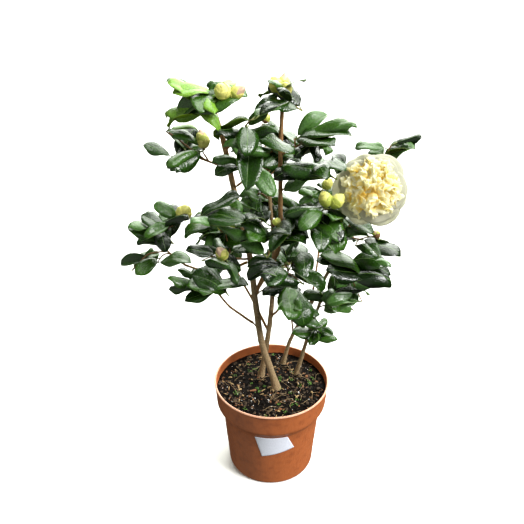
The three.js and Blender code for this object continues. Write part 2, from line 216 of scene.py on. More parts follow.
class Finish:
    """A material in the making: a shader with its constants set, and patterns added to it."""

    def __init__(self, name, roughness=0.5, **constants):
        self.material = bpy.data.materials.new(name)
        self.material.use_nodes = True
        self.tree = self.material.node_tree
        self.shader = self.tree.nodes["Principled BSDF"]
        self.shader.inputs["Roughness"].default_value = roughness
        for socket, value in constants.items():
            self.shader.inputs[socket.replace("_", " ")].default_value = value
        self.coordinates = self.tree.nodes.new("ShaderNodeTexCoord")
        self.height = None

    def node(self, kind, **settings):
        made = self.tree.nodes.new("ShaderNode" + kind)
        for name, value in settings.items():
            if name in made.inputs:
                made.inputs[name].default_value = value
            else:
                setattr(made, name, value)
        return made

    def link(self, source, target):
        self.tree.links.new(source, target)

    def grain(self, size, stretch=(1, 1, 1), detail=3.0, roughness=0.55):
        """A pattern fixed to the piece, with features of a size in millimetres."""
        mapping = self.node("Mapping")
        mapping.inputs["Scale"].default_value = [s / (size * MM) for s in stretch]
        self.link(self.coordinates.outputs["Object"], mapping.inputs["Vector"])
        pattern = self.node("TexNoise", Detail=detail, Roughness=roughness)
        self.link(mapping.outputs["Vector"], pattern.inputs["Vector"])
        return pattern.outputs["Fac"]

    def spread(self, value, low, high, start=0.3, end=0.7):
        """The value stretched to run from low to high."""
        ranged = self.node("MapRange")
        for socket, number in (("From Min", start), ("From Max", end), ("To Min", low), ("To Max", high)):
            ranged.inputs[socket].default_value = number
        self.link(value, ranged.inputs["Value"])
        return ranged.outputs["Result"]

    def tones(self, value, *stops):
        """Colours along the value, each as (place, colour)."""
        ramp = self.node("ValToRGB")
        while len(ramp.color_ramp.elements) < len(stops):
            ramp.color_ramp.elements.new(0.5)
        for element, (place, tone) in zip(ramp.color_ramp.elements, stops):
            element.position = place
            element.color = (*tone, 1)
        self.link(value, ramp.inputs["Fac"])
        self.link(ramp.outputs["Color"], self.shader.inputs["Base Color"])
        return self

    def mottle(self, size, dark, light, start=0.3, end=0.7, **grain):
        """Patches of a size in millimetres that run from a dark tone to a light one."""
        return self.tones(self.grain(size, **grain), (start, dark), (end, light))

    def thin(self, tone, share):
        """Lets light through, tinted, as a petal does."""
        glow = self.node("BsdfTranslucent", Color=(*tone, 1))
        mix = self.node("MixShader", Fac=share)
        self.link(self.shader.outputs["BSDF"], mix.inputs[1])
        self.link(glow.outputs["BSDF"], mix.inputs[2])
        self.link(mix.outputs["Shader"], self.tree.nodes["Material Output"].inputs["Surface"])
        return self

    def dull(self, value, low, high):
        self.link(self.spread(value, low, high), self.shader.inputs["Roughness"])
        return self

    def relief(self, value, depth):
        """Bump of a depth in millimetres, laid over any earlier bump."""
        bump = self.node("Bump", Distance=depth * MM)
        self.link(value, bump.inputs["Height"])
        if self.height:
            self.link(self.height, bump.inputs["Normal"])
        self.height = bump.outputs["Normal"]
        self.link(self.height, self.shader.inputs["Normal"])
        return self


def mixed(first, second, share):
    return tuple(a + (b - a) * share for a, b in zip(first, second))


def scaled(tone, factor):
    return tuple(min(c * factor, 1) for c in tone)


# ---- limbs read back from the frame ----


SLICE_SPACING = 5
END_REACH = 12
NEXT_RING = 20
CUT_REACH = 13
FEWEST_CUTS = 4
START_REACH = 4


def limb_slices(name):
    """The centres and radii of a limb's slices, from its foot to its tip.

    It starts among the corners of one end and steps along the limb, and at each step cuts the
    edges nearby with a plane across it. The thicker end, or a ground stem's lower one, is the foot.
    """
    bm = bmesh.new()
    bm.from_mesh(NODES[name].data)
    bmesh.ops.remove_doubles(bm, verts=bm.verts, dist=1e-6)
    corners = [v.co / MM for v in bm.verts]
    edges = [(e.verts[0].co / MM, e.verts[1].co / MM) for e in bm.edges]
    bm.free()
    far = max(corners, key=lambda p: (p - corners[0]).length)
    end_corners = [p for p in corners if (p - far).length < END_REACH]
    here = sum(end_corners, Vector()) / len(end_corners)
    ahead = min((p for p in corners if (p - far).length > NEXT_RING), key=lambda p: (p - far).length)
    direction = (ahead - here).normalized()
    slices = []
    while True:
        here = here + direction * (SLICE_SPACING if slices else SLICE_SPACING * 0.4)
        cuts = []
        for a, b in edges:
            below, above = (a - here).dot(direction), (b - here).dot(direction)
            if below * above < 0:
                cut = a + (b - a) * (below / (below - above))
                if (cut - here).length < CUT_REACH:
                    cuts.append(cut)
        if len(cuts) < FEWEST_CUTS:
            break
        centre = sum(cuts, Vector()) / len(cuts)
        radius = sum((cut - centre).length for cut in cuts) / len(cuts)
        if slices:
            direction = (centre - slices[-1][0]).normalized()
        slices.append((centre, radius))
        here = centre
    end = max(corners, key=lambda p: (p - slices[-1][0]).dot(direction))
    tail = slices[-1][0] + direction * max((end - slices[-1][0]).dot(direction), 0.5)
    head = slices[0][0] - (slices[1][0] - slices[0][0]).normalized() * START_REACH
    slices = [(head, slices[0][1])] + slices + [(tail, slices[-1][1])]
    third = max(len(slices) // 3, 2)
    backwards = sum(r for c, r in slices[1:third + 1]) < sum(r for c, r in slices[-third - 1:-1])
    if name in GROUND_STEMS:
        backwards = slices[0][0].z > slices[-1][0].z
    return slices[::-1] if backwards else slices


LIMBS = {name: limb_slices(name) for name in STEMS + BOUGHS}


SCAR_SPACING = 21
SCAR_WIDTH = 1.9
FOOT_SWELLING = 7


def bark_radius(slices, seed, depth):
    """A radius rule with the bark's ridges, its leaf scars and a swelling at the foot."""
    radii = [radius for centre, radius in slices]
    span = sum((b[0] - a[0]).length for a, b in zip(slices, slices[1:]))
    scars = max(2, round(span / SCAR_SPACING))

    def radius(share, turn):
        place = share * (len(radii) - 1)
        i = min(int(place), len(radii) - 2)
        plain = radii[i] + (radii[i + 1] - radii[i]) * (place - i)
        along = share * span
        around = Vector((math.cos(turn) * 1.6, math.sin(turn) * 1.6, along / 16 + seed))
        ridges = noise.noise(around) + 0.5 * noise.noise(around * 2.7)
        swelling = 0
        for k in range(scars):
            offset = along - span * (k + 0.5) / scars
            if abs(offset) < 8:
                side = 0.55 + 0.45 * math.cos(turn - k * GOLDEN_TURN)
                swelling += side * math.exp(-(offset / SCAR_WIDTH) ** 2)
        foot = math.exp(-(along / FOOT_SWELLING) ** 2)
        return plain * (1 + 0.1 * foot) + depth * (ridges * (1 + 2 * foot) + 0.9 * swelling)

    return radius


# ---- how the shoots are set ----


class Leaf(NamedTuple):
    """A leaf at a shoot's joint.

    Reach is base to tip, lean tips its face towards the front, and wide is its width to its reach.
    """
    joint: int
    heading: str
    slope: float
    reach: float
    habit: str
    tone: str
    lean: float
    wide: float


class Bud(NamedTuple):
    """A bud at a shoot's tip."""
    heading: str
    slope: float
    length: float
    tone: str


class Shoot(NamedTuple):
    """A shoot that leaves a limb for its joints, in millimetres, and what it carries there."""
    limb: str
    joints: list
    leaves: list
    buds: list


class Habit(NamedTuple):
    """How a blade bends, in degrees: its edges, its halves, its length, its twist and its tip."""
    roll: float
    fold: float
    curl: float
    twist: float
    hook: float = 45


HABITS = {
    "rolled": Habit(95, 0, 28, 8, 110),
    "draped": Habit(85, 0, 66, 0, 110),
    "arched": Habit(58, 12, 70, 16),
    "flat": Habit(42, 12, 34, 9),
    "facing": Habit(56, 26, 38, 8),
    "folded": Habit(30, 48, 42, 12),
}
COMMON_HABITS = ("facing", "facing", "folded", "flat", "rolled", "arched", "draped")

# What a mass is made of, in plain words: its leaf tones, and the buds that end its highest shoot.
OLD_LEAVES = ("dark", "mid", "mid", "sheen", "pale")
MIXED_LEAVES = ("dark", "mid", "pale", "pale", "sheen")
FRESH_LEAVES = ("mid", "pale", "young", "pale")
SHADED_LEAVES = ("dark", "mid", "mid")
TONES = {
    "foliage_top_left": FRESH_LEAVES,
    "foliage_upper_left": MIXED_LEAVES + ("olive",),
    "foliage_top_centre": MIXED_LEAVES,
    "foliage_far_left": MIXED_LEAVES,
    "foliage_left_tip": ("olive", "pale", "sheen"),
    "foliage_left_front": ("dark", "mid", "olive"),
    "foliage_left": MIXED_LEAVES,
    "foliage_right": MIXED_LEAVES,
    "foliage_lower_left": ("pale", "mid", "olive"),
    "foliage_lowest": ("pale", "mid"),
    "foliage_back_low": SHADED_LEAVES,
    "foliage_front": SHADED_LEAVES,
}
SHOOT_ENDS = {
    "foliage_top_left": ("pink", "cream"),
    "foliage_upper_left": ("pink",),
    "foliage_top_centre": ("yellow", "yellow", "pink"),
    "foliage_upper_right": ("green", "green"),
    "foliage_right": ("yellow", "yellow"),
    "foliage_far_left": ("cream",),
    "foliage_left_front": ("pink", "brown"),
    "foliage_centre": ("green",),
    "foliage_under_bloom": ("brown",),
    "foliage_back_left": ("green", "pink"),
    "foliage_back_right": ("yellow",),
    "foliage_back_centre": ("green",),
}
YOUNG_MASSES = ("foliage_top_left", "foliage_top_centre")

# How a mass is filled: a shoot to so many cubic centimetres, or fewer where daylight shows through.
SHOOT_SHARE = 34
OPEN_MASSES = ("foliage_centre", "foliage_upper_middle", "foliage_left", "foliage_front",
               "foliage_right_shoulder")
OPEN_SHARE = 0.6
FEWEST_SHOOTS = 2
MOST_SHOOTS = 6
TRIES = 14

# A shoot bows upwards by so many millimetres, and its joints lie at these shares of its length.
SHOOT_BOW = 5
JOINT_SHARES = (0.4, 0.7, 1)
LEAF_JOINTS = (0, 1, 2, 2)

# Lengths in millimetres, slopes and leans in degrees, each drawn between two bounds. A leaf may
# pass the mass's wall by the overhang.
LEAF_LENGTHS = (58, 84)
LEAF_SLOPES = (-42, 38)
LEAF_LEANS = (0, 38)
LEAF_WIDTHS = (0.42, 0.6)
SHORTEST_LEAF = 32
OVERHANG = 13
BUD_LENGTHS = {"pink": 28, "cream": 25, "yellow": 23, "green": 15, "brown": 13}
BUD_SLOPES = (32, 66)
BUD_STEP = 5


# ---- shoots and leaves ----


def nearest_on_limb(limb, point):
    """The number of the limb's slice that lies nearest to a point, and its centre."""
    slices = LIMBS[limb]
    number = min(range(len(slices)), key=lambda i: (slices[i][0] - point).length)
    return number, slices[number][0]


def shoot_route(shoot):
    """The shoot's route out of its limb, leaving it at an acute angle."""
    slices = LIMBS[shoot.limb]
    foot, nearest = nearest_on_limb(shoot.limb, shoot.joints[0])
    away = (nearest - shoot.joints[0]).length
    while foot > 0 and (slices[foot][0] - nearest).length < 0.6 * away:
        foot -= 1
    return [slices[foot][0]] + shoot.joints


class Hull:
    """The closed solid of a mass, which its shoots and leaves grow in and may pass a little."""

    def __init__(self, mass):
        bm = bmesh.new()
        bm.from_mesh(NODES[mass].data)
        bmesh.ops.scale(bm, vec=(1 / MM, 1 / MM, 1 / MM), verts=bm.verts)
        self.volume = bm.calc_volume()
        self.tree = BVHTree.FromBMesh(bm)
        bm.free()
        self.low, self.high = node_box(mass)
        self.middle = (self.low + self.high) / 2

    def holds(self, point):
        place, normal, *rest = self.tree.find_nearest(point)
        return (point - place).dot(normal) < 0

    def wall(self, point, direction):
        """How far it is from a point inside to the wall, or nothing from a point outside."""
        gap = self.tree.ray_cast(point, direction)[-1]
        return gap if gap is not None and self.holds(point) else 0

    def spread_points(self, count, rng):
        """Points inside, each the one of a few tries that lies furthest from those before it."""
        points = []
        while len(points) < count:
            tries = []
            while len(tries) < TRIES:
                point = Vector([rng.uniform(a, b) for a, b in zip(self.low, self.high)])
                if self.holds(point):
                    tries.append(point)
            points.append(max(tries, key=lambda point: min(
                [(point - other).length for other in points] or [-(point - self.middle).length])))
        return points


def seeded_leaf(joint, spot, out, hull, tones, rng):
    """The leaf of a few tries that runs furthest outwards and still ends near the mass's wall."""
    best, found = 0, None
    natural = rng.uniform(*LEAF_LENGTHS)
    for attempt in range(TRIES):
        heading, slope = rng.choice(COMPASS), rng.uniform(*LEAF_SLOPES)
        ahead = heading_vector(heading, slope)
        reach = min(hull.wall(spot, ahead) + OVERHANG, natural)
        worth = reach * (1 + 0.6 * ahead.dot(out))
        if reach > SHORTEST_LEAF and worth > best:
            best, found = worth, (heading, slope, reach)
    if not found:
        return None
    return Leaf(joint, *found, rng.choice(COMMON_HABITS), rng.choice(tones),
                rng.uniform(*LEAF_LEANS), rng.uniform(*LEAF_WIDTHS))


def seeded_shoots(mass, rng):
    """Shoots from the nearest limbs to points spread through the mass, leaves alternate along them."""
    hull = Hull(mass)
    count = round(hull.volume / 1000 / SHOOT_SHARE * (OPEN_SHARE if mass in OPEN_MASSES else 1))
    tones = TONES.get(mass, OLD_LEAVES)
    shoots = []
    tips = hull.spread_points(min(max(count, FEWEST_SHOOTS), MOST_SHOOTS), rng)
    highest = max(tips, key=lambda tip: tip.z)
    for tip in tips:
        limb = min(LIMBS, key=lambda name: (nearest_on_limb(name, tip)[1] - tip).length)
        root = nearest_on_limb(limb, tip)[1]
        joints = [root.lerp(tip, share) + UP * SHOOT_BOW * math.sin(math.pi * share)
                  for share in JOINT_SHARES]
        turn = rng.uniform(0, math.tau)
        leaves = []
        for joint in LEAF_JOINTS:
            turn += GOLDEN_TURN
            out = Vector((math.cos(turn), math.sin(turn), 0.1)).normalized()
            leaves.append(seeded_leaf(joint, joints[joint], out, hull, tones, rng))
        buds = []
        if tip is highest:
            first = rng.randrange(len(COMPASS))
            for number, tone in enumerate(SHOOT_ENDS.get(mass, ())):
                heading = COMPASS[(first + BUD_STEP * number) % len(COMPASS)]
                buds.append(Bud(heading, rng.uniform(*BUD_SLOPES),
                                BUD_LENGTHS[tone] * rng.uniform(0.9, 1.1), tone))
        shoots.append(Shoot(limb, joints, [leaf for leaf in leaves if leaf], buds))
    return shoots


MASSES = tuple(sorted(name for name in NODES if name.startswith("foliage_")))
FIRST_SEED = 500
SHOOTS = {mass: seeded_shoots(mass, random.Random(FIRST_SEED + number))
          for number, mass in enumerate(MASSES)}


def blade_profile(share):
    """A camellia leaf's half width, as a share of its greatest half width: full, with a short tip."""
    return 1.68 * share ** 0.55 * max(1 - share ** 2.5, 0) ** 0.78


# A blade's columns of corners, as shares of its half width, and its rows of faces.
SIDE_SHARES = (1, 0.55, 0.03)
SHARES = tuple(-s for s in SIDE_SHARES) + SIDE_SHARES[::-1]
BLADE_ROWS = 10


def add_blade(bm, uv, base, leaf, rng):
    """One blade, from its base on the petiole to its tip, as a sheet whose face is its upper side."""
    habit = HABITS[leaf.habit]
    forward = heading_vector(leaf.heading, leaf.slope)
    side = forward.cross(UP).normalized()
    face = side.cross(forward)
    front = 1 if side.dot(FRONT) > 0 else -1
    lean = math.radians(leaf.lean + rng.uniform(-4, 4)) * front
    face = face * math.cos(lean) + side * math.sin(lean)
    side = forward.cross(face)
    roll, fold, curl, twist = (math.radians(a * rng.uniform(0.88, 1.12)) for a in habit[:4])
    span = leaf.reach * 1.05
    half = leaf.reach * leaf.wide * rng.uniform(1.04, 1.12) / 2
    wave, lap = rng.uniform(0, math.tau), rng.uniform(1.3, 2.8)
    recurve, sway = math.radians(habit.hook * rng.uniform(0.4, 1.5)), math.radians(rng.uniform(6, 14))
    spine, frames = [Vector()], []
    for row in range(BLADE_ROWS + 1):
        share = row / BLADE_ROWS
        pitch = curl * (0.5 - share) + sway * math.sin(wave + 8 * share)
        pitch -= recurve * max(0, (share - 0.72) / 0.28) ** 1.5
        ahead = forward * math.cos(pitch) + face * math.sin(pitch)
        normal = face * math.cos(pitch) - forward * math.sin(pitch)
        turn = twist * (share - 0.5)
        frames.append((side * math.cos(turn) + normal * math.sin(turn),
                       normal * math.cos(turn) - side * math.sin(turn)))
        spine.append(spine[-1] + ahead * (span / BLADE_ROWS))
    scale = leaf.reach / max(point.dot(forward) for point in spine)
    spine = [base + point * scale for point in spine]

    def place(across, along):
        row = round(along * BLADE_ROWS)
        share = SHARES[round(across * (len(SHARES) - 1))]
        out, sign = abs(share), math.copysign(1, share)
        width = half * max(blade_profile(along), 0.012)
        bend = roll * (0.35 + 0.65 * math.sin(math.pi * along))
        bend *= 1 + 0.3 * math.sin(wave * 3 + 5 * along + sign)
        x = width * (math.sin(fold) - math.sin(fold - bend * out)) / bend
        z = width * (math.cos(fold - bend * out) - math.cos(fold)) / bend
        if out > 0.1:
            z += lap * out * out * math.sin(wave + 7.5 * along + 1.9 * sign) * min(width / 12, 1)
        sideways, outward = frames[row]
        return spine[row] + sideways * (x * sign) + outward * z

    upper, rib = LEAF_TONES.index(leaf.tone), len(LEAF_TONES)
    middle = len(SIDE_SHARES) - 1

    def paint(column, row):
        return rib if column == middle and row < BLADE_ROWS - 1 else upper

    sheet(bm, len(SHARES) - 1, BLADE_ROWS, place, paint, uv)


LEAF_TONES = ("dark", "mid", "pale", "sheen", "young", "olive")


def leaf_materials(looks):
    """Upper sides, then undersides in the same order, then the rim."""
    # The sheen upper side's colour is a painted sheen, a paler green standing in for reflected sky.
    uppers = {
        "dark": (looks.dark, 0.19), "mid": (looks.mid, 0.2), "pale": (looks.pale, 0.22),
        "sheen": (looks.sheen, 0.25), "young": (looks.young, 0.34), "olive": (looks.mid, 0.32),
        "rib": (looks.rib, 0.4),
    }
    # The young underside's colour is brightened as painted light shining through the blade.
    unders = {
        "dark": (looks.under_dark, 0.5), "mid": (looks.under, 0.5), "pale": (looks.under, 0.5),
        "sheen": (looks.under, 0.5), "young": (looks.under_young, 0.45), "olive": (looks.under_olive, 0.48),
        "rib": (looks.rib, 0.5),
    }
    made = []
    for side, tones in (("upper", uppers), ("under", unders)):
        for name, (tone, dullness) in tones.items():
            gloss = 0.5 if side == "upper" else 0.15
            finish = Finish(f"leaf_{side}_{name}", dullness, Specular_IOR_Level=gloss)
            finish.mottle(9, scaled(tone, 0.55), scaled(tone, 1.4), 0.28, 0.72, detail=2)
            finish.dull(finish.grain(3.5, detail=4), dullness - 0.06, dullness + 0.12)
            finish.relief(finish.grain(1.6, detail=2), 0.02)
            if side == "upper":
                finish.relief(finish.grain(11, detail=1), 0.6)
            made.append(finish.material)
    rim = Finish("leaf_rim", 0.45)
    rim.mottle(6, looks.rim, scaled(looks.rim, 0.8))
    return made + [rim.material]


# ---- property groups ----


class PotLooks(bpy.types.PropertyGroup):
    lip_bead: length("Lip bead", 1.6, "Radius of the rolled bead round the pot's lip")
    wall: length("Wall", 1.8, "Thickness of the pot's wall")
    plastic: colour("Plastic", "AA5F34", "Colour of the moulded pot")
    plastic_dark: colour("Shaded plastic", "99532D", "Colour of scuffed and dusty plastic")
    lip: colour("Lip", "E3A98A", "Colour of the paler top of the lip")
    label: colour("Label", "E9ECF8", "Colour of the bare sticker")


class CompostLooks(bpy.types.PropertyGroup):
    dark: colour("Compost", "0F0A07", "Colour of damp compost")
    light: colour("Dry crumbs", "4A3D30", "Colour of the drier crumbs")
    chip: colour("Bark chips", "8A5F42", "Colour of the fresher bark chips")
    straw: colour("Slivers", "B79A6E", "Colour of slivers of wood")
    grit: colour("Grit", "E4E0DA", "Colour of white grains")
    moss: colour("Moss", "5E8A2C", "Colour of moss and seedlings")
    crumbs: IntProperty(name="Crumbs", description="Number of loose crumbs and chips", default=1500, min=0)
    slivers: IntProperty(name="Slivers", description="Number of slivers of wood", default=34, min=0)
    grains: IntProperty(name="Grains", description="Number of white grains", default=120, min=0)
    fibres: IntProperty(name="Fibres", description="Number of fine roots", default=60, min=0)
    tufts: IntProperty(name="Tufts", description="Number of tufts of moss", default=34, min=0)


class WoodLooks(bpy.types.PropertyGroup):
    relief: length("Relief", 0.3, "Depth of the bark's ridges")
    twig: length("Twig", 1.3, "Radius of a shoot where it leaves its limb")
    bark: colour("Bark", "A38C68", "Colour of the old bark")
    bark_dark: colour("Bark furrows", "5A4630", "Colour of the bark's furrows")
    red_bark: colour("Red bark", "A67E52", "Colour of the younger red-brown bark")
    red_dark: colour("Red furrows", "66462A", "Colour of the younger bark's furrows")
    shoot: colour("Green shoot", "6E7A35", "Colour of this year's shoots and leaf stalks")


class LeafLooks(bpy.types.PropertyGroup):
    thickness: length("Thickness", 0.35, "Thickness of a blade")
    stalk: length("Stalk", 7, "Length of a leaf's stalk")
    dark: colour("Dark leaf", "0D2103", "Colour of an old leaf's upper side")
    mid: colour("Leaf", "1E3C09", "Colour of a leaf's upper side")
    pale: colour("Lighter leaf", "305412", "Colour of a younger leaf's upper side")
    # This tone is a painted sheen: a paler, greyer green that stands in for a glossy leaf's reflection of the
    # sky on its upper side.
    sheen: colour("Dusty leaf", "41662A", "Colour of a leaf with a pale bloom on its upper side")
    young: colour("Young leaf", "6E9A2A", "Colour of a young leaf")
    rib: colour("Midrib", "486628", "Colour of the midrib")
    rim: colour("Rim", "7E9547", "Colour of the blade's thin edge")
    under: colour("Underside", "4A641A", "Colour of a leaf's underside")
    under_dark: colour("Dark underside", "33481A", "Colour of an old leaf's underside")
    under_olive: colour("Olive underside", "566E10", "Colour of an underside with light through it")
    # This underside colour is partly a young leaf's own yellow-green and partly painted light: it is
    # brightened to stand in for light shining through the blade.
    under_young: colour("Young underside, painted as lit through", "8DB527", "Colour of a young leaf's underside")


class BudLooks(bpy.types.PropertyGroup):
    green: colour("Green scale", "A9B24A", "Colour of a closed bud's scales")
    yellow: colour("Yellow scale", "DCD775", "Colour of a swelling bud's scales")
    pink: colour("Pink scale", "D8B79A", "Colour of the flushed tips")
    brown: colour("Brown scale", "7A5A38", "Colour of the dry outer scales")


class BloomLooks(bpy.types.PropertyGroup):
    guard: colour("Guard petal", "D2D1BF", "Colour of the broad outer petals")
    cream: colour("Cream edge", "FFFBDC", "Colour of the inner petals' edges")
    yellow: colour("Yellow petal", "FFF3AE", "Colour of the inner petals")
    gold: colour("Gold heart", "FCE488", "Colour deep between the inner petals")
    inner: IntProperty(name="Inner petals", description="Number of crumpled inner petals", default=150, min=1)


class StageLooks(bpy.types.PropertyGroup):
    floor: colour("Floor", "F8F8F6", "Colour of the plain floor")
    sky: FloatProperty(name="Sky", description="Strength of the light overhead", default=6.7, min=0)
    haze: FloatProperty(name="Haze", description="Strength of the light all round", default=0.05, min=0)
    key: FloatProperty(name="Key", description="Strength of the broad light from the right",
                       default=4.6, min=0)


# ---- pot ----


def ring_spin(bm, profile, segments):
    """A closed shell of revolution about the upright axis, from (radius, height) points."""
    verts = [bm.verts.new((radius, 0, height)) for radius, height in profile]
    edges = [bm.edges.new(pair) for pair in zip(verts, verts[1:])]
    bmesh.ops.spin(bm, geom=verts + edges, cent=(0, 0, 0), axis=(0, 0, 1), angle=math.tau,
                   steps=segments, use_merge=True)
    bmesh.ops.remove_doubles(bm, verts=bm.verts, dist=1e-4)
    bmesh.ops.recalc_face_normals(bm, faces=bm.faces)
    for face in bm.faces:
        face.smooth = True


def arc(centre, radius, start, end, steps):
    """Points on an arc in the (radius, height) plane, angles in degrees from straight out."""
    points = []
    for i in range(steps + 1):
        angle = math.radians(start + (end - start) * i / steps)
        points.append((centre[0] + radius * math.cos(angle), centre[1] + radius * math.sin(angle)))
    return points


class CAMELLIA_OT_pot(bpy.types.Operator):
    """Moulds the round nursery pot with its stepped band, rolled lip and drain holes"""
    bl_idname = "camellia.pot"
    bl_label = "Pot"

    def execute(self, context):
        looks = context.scene.camellia_pot
        high = node_box("pot")[1]
        rim, top = high.x, high.z
        band, shoulder = top - BAND_DROP, top - SHOULDER_DROP
        waist, foot = rim - WAIST_INSET, rim - FOOT_INSET
        bm = bmesh.new()
        ring_spin(bm, self.outline(looks, rim, top, band, shoulder, waist, foot), 128)
        for v in bm.verts:
            swell = 0.35 * noise.noise(Vector((v.co.x, v.co.y, v.co.z * 0.4)) / 70)
            out = Vector((v.co.x, v.co.y, 0))
            if out.length > foot - 12 and v.co.z > 6:
                v.co += out.normalized() * (swell - 0.3)
        pot = add_piece(bm, "pot_shell", self.plastics(looks), "pot_plastic", ["pot"])
        self.drill(pot)
        return {"FINISHED"}

    def outline(self, looks, rim, top, band, shoulder, waist, foot):
        """The (radius, height) points of the wall, up its outside and back down its inside."""
        wall, bead = looks.wall / MM, looks.lip_bead / MM
        outside = (
            [(0, 1.6), (foot - 16, 1.6), (foot - 14.5, 0)] + arc((foot - 5, 5), 5, -90, 0, 6)
            + [(foot + (waist - foot) * t, 5 + (shoulder - 5) * t) for t in (0.2, 0.4, 0.6, 0.8)]
            + [(waist - 0.1, shoulder - 2), (waist + 0.4, shoulder - 0.4), (waist + 2.2, shoulder + 3),
               (rim - 5.2, band - 4), (rim - 3.9, band - 1.2), (rim - 3.5, band + 0.6)]
            + [(rim - 3.4 + 2.2 * t, band + 1 + (top - 5 - band) * t) for t in (0.15, 0.5, 0.85, 0.95)]
            + arc((rim - bead, top - bead), bead, -70, 90, 8)
            + arc((rim - bead - 0.4, top - 1.1), 1.1, 90, 180, 4)
        )
        inside = [
            (rim - 3.4 - wall + 1.6, top - 10), (rim - 3.4 - wall, band + 2),
            (waist - wall + 1.4, shoulder + 3), (waist - wall, shoulder - 2),
            (foot - wall, 8), (foot - wall - 3, 3.4), (foot - 9, 3), (0, 3),
        ]
        return outside + inside

    def plastics(self, looks):
        """The clouded, slightly scuffed plastic of the pot, and the paler one of the top of its lip."""
        body = Finish("moulded_plastic", 0.42, Specular_IOR_Level=0.5)
        clouds = body.grain(60, detail=4)
        body.tones(clouds, (0.3, looks.plastic_dark), (0.5, looks.plastic),
                   (0.72, scaled(looks.plastic, 1.07)))
        body.dull(body.grain(14, stretch=(1, 1, 0.35), detail=5), 0.34, 0.56)
        body.relief(body.grain(0.9, detail=2), 0.05)
        body.relief(body.grain(26, stretch=(1, 1, 0.3), detail=2), 0.35)
        lip = Finish("worn_lip", 0.38)
        lip.mottle(7, mixed(looks.plastic, looks.lip, 0.6), looks.lip, 0.35, 0.6, detail=4)
        return [body.material, lip.material]

    def drill(self, pot):
        """Drain holes through the floor, in a ring, and then the paler finish on the faces at the top of the
        lip.
        """
        bm = bmesh.new()
        for hole in range(DRAIN_HOLES):
            turn = hole / DRAIN_HOLES * math.tau
            drill = bmesh.ops.create_cone(bm, cap_ends=True, segments=24, radius1=DRAIN_RADIUS,
                                          radius2=DRAIN_RADIUS, depth=16)
            bmesh.ops.translate(bm, verts=drill["verts"],
                                vec=(DRAIN_RING * math.cos(turn), DRAIN_RING * math.sin(turn), 0))
        cutters = add_piece(bm, "drills", [], "pot_plastic")
        cut = pot.modifiers.new("drain holes", "BOOLEAN")
        cut.object, cut.operation, cut.solver = cutters, "DIFFERENCE", "EXACT"
        graph = bpy.context.evaluated_depsgraph_get()
        drilled = bpy.data.meshes.new_from_object(pot.evaluated_get(graph))
        pot.modifiers.clear()
        pot.data = drilled
        bpy.data.objects.remove(cutters)
        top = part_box("pot")[1].z
        for face in drilled.polygons:
            face.material_index = 1 if face.center.z > top - 2.2 * MM else 0


class CAMELLIA_OT_label(bpy.types.Operator):
    """Sticks the bare white label on the pot's front"""
    bl_idname = "camellia.label"
    bl_label = "Label"

    def execute(self, context):
        looks = context.scene.camellia_pot
        low, high = node_box("pot_label")
        pot_high = node_box("pot")[1]
        foot, waist = pot_high.x - FOOT_INSET, pot_high.x - WAIST_INSET
        shoulder = pot_high.z - SHOULDER_DROP
        left, right = low.x, high.x
        bm = bmesh.new()

        def place(across, along):
            x = left + (right + 4 - left) * across + 12 * (1 - along) - 2
            foot_edge = low.z - 5 + 15 * across
            height = foot_edge + (high.z + 1 - foot_edge) * along
            radius = foot + (waist - foot) * (height - 5) / (shoulder - 5)
            corner = abs(across - 0.5) * 2 * abs(along - 0.5) * 2
            lift = 0.3 + 0.5 * corner ** 6 + 0.12 * noise.noise(Vector((x / 9, height / 7, 3)))
            angle = x / radius
            return Vector(((radius + lift) * math.sin(angle), -(radius + lift) * math.cos(angle), height))

        sheet(bm, 32, 20, place)
        paper = Finish("bare_paper", 0.42, Specular_IOR_Level=0.45)
        paper.mottle(9, scaled(looks.label, 0.9), looks.label, end=0.6, detail=4)
        paper.relief(paper.grain(5, detail=3), 0.15)
        label = add_piece(bm, "label_sticker", [paper.material], "label_paper", ["pot_label"])
        thicken(label, 0.2 * MM, -1)
        return {"FINISHED"}


# ---- compost ----


CRUMB, DRY_CRUMB, CHIP, SLIVER, GRIT = range(5)
BLADES_PER_TUFT = 9


